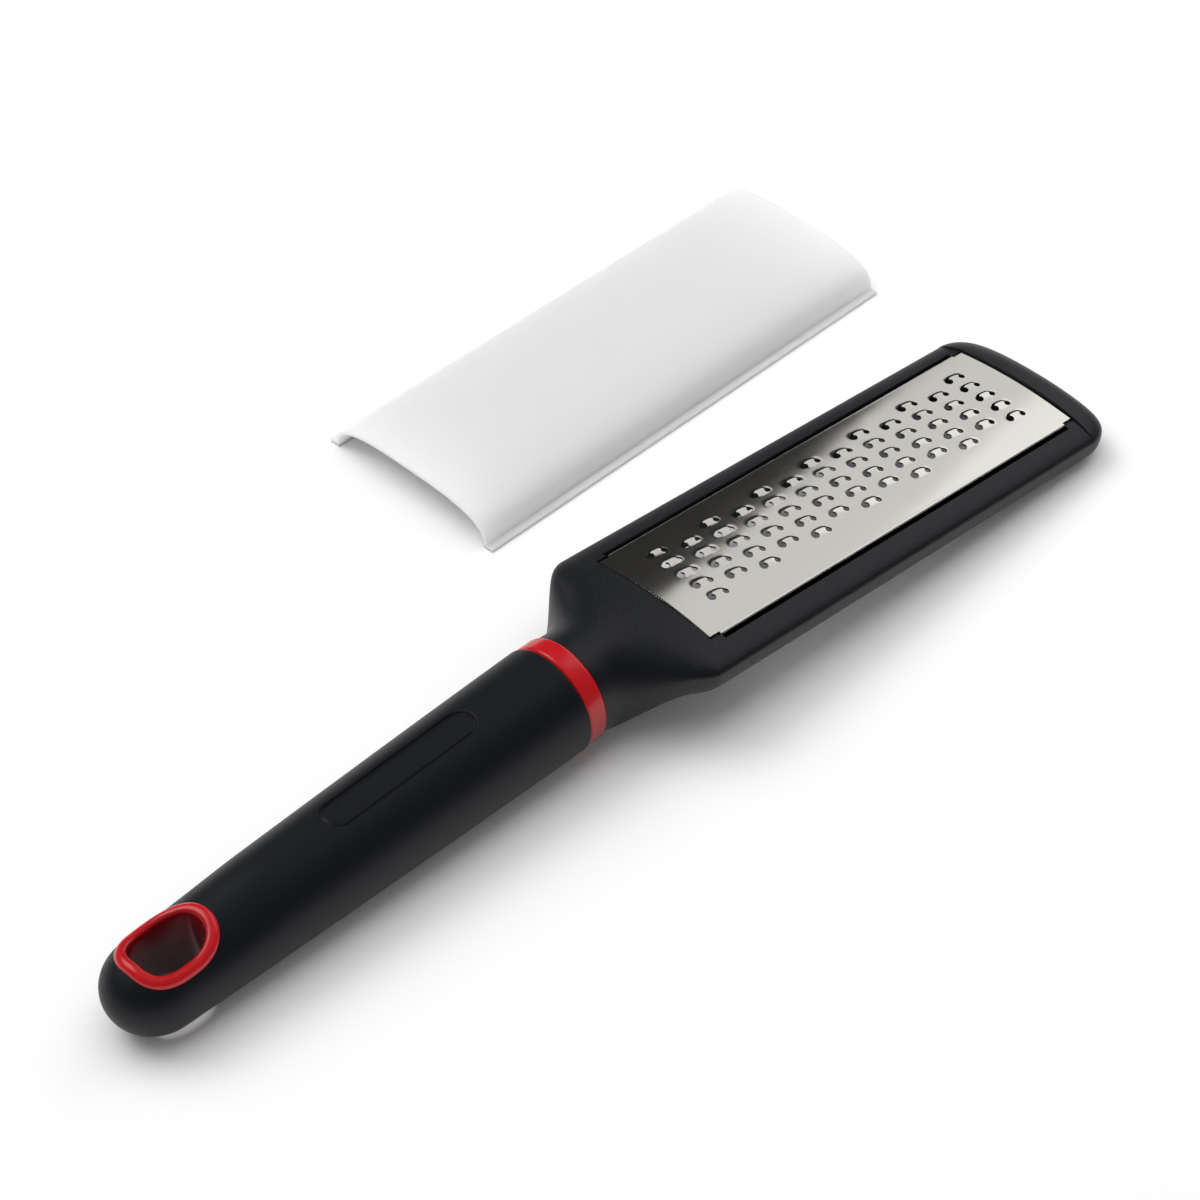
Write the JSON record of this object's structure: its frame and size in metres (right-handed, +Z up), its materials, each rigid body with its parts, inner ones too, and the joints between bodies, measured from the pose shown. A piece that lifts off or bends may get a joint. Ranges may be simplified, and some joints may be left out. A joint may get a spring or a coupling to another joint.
{
  "type": "rasp_zester",
  "caption": "Kitchen rasp zester with an arched toothed steel blade in a black frame, a soft black grip with a red collar and red hang hole, and its frosted blade cover lying beside it",
  "frame": {"origin": "Middle of the box round the tool and its cover, on the table plane", "axes": "X runs along the tool from the butt to the tip, Y runs across it towards the cover, Z is up from the table"},
  "size_m": [0.312, 0.1442, 0.0282],
  "materials": {
    "black_frame_plastic": "fine matte moulded",
    "blade_steel": "polished sheet",
    "red_gloss_plastic": "high gloss",
    "core_plastic": "plain moulded",
    "black_soft_grip": "satin soft touch",
    "frosted_cover_plastic": "frosted translucent"
  },
  "bodies": {
    "tool": {"head_frame": "black_frame_plastic", "rasp_blade": "blade_steel", "collar_ring": "red_gloss_plastic", "handle_core": "core_plastic", "soft_grip": "black_soft_grip", "hang_hole_liner": "red_gloss_plastic"},
    "cover": {"cover": "frosted_cover_plastic"}
  },
  "joints": [
    {"name": "cover_lift", "type": "slide", "parent": "tool", "child": "cover", "axis": [0, 0, 1], "range_m": [0, 0.06]}
  ]
}
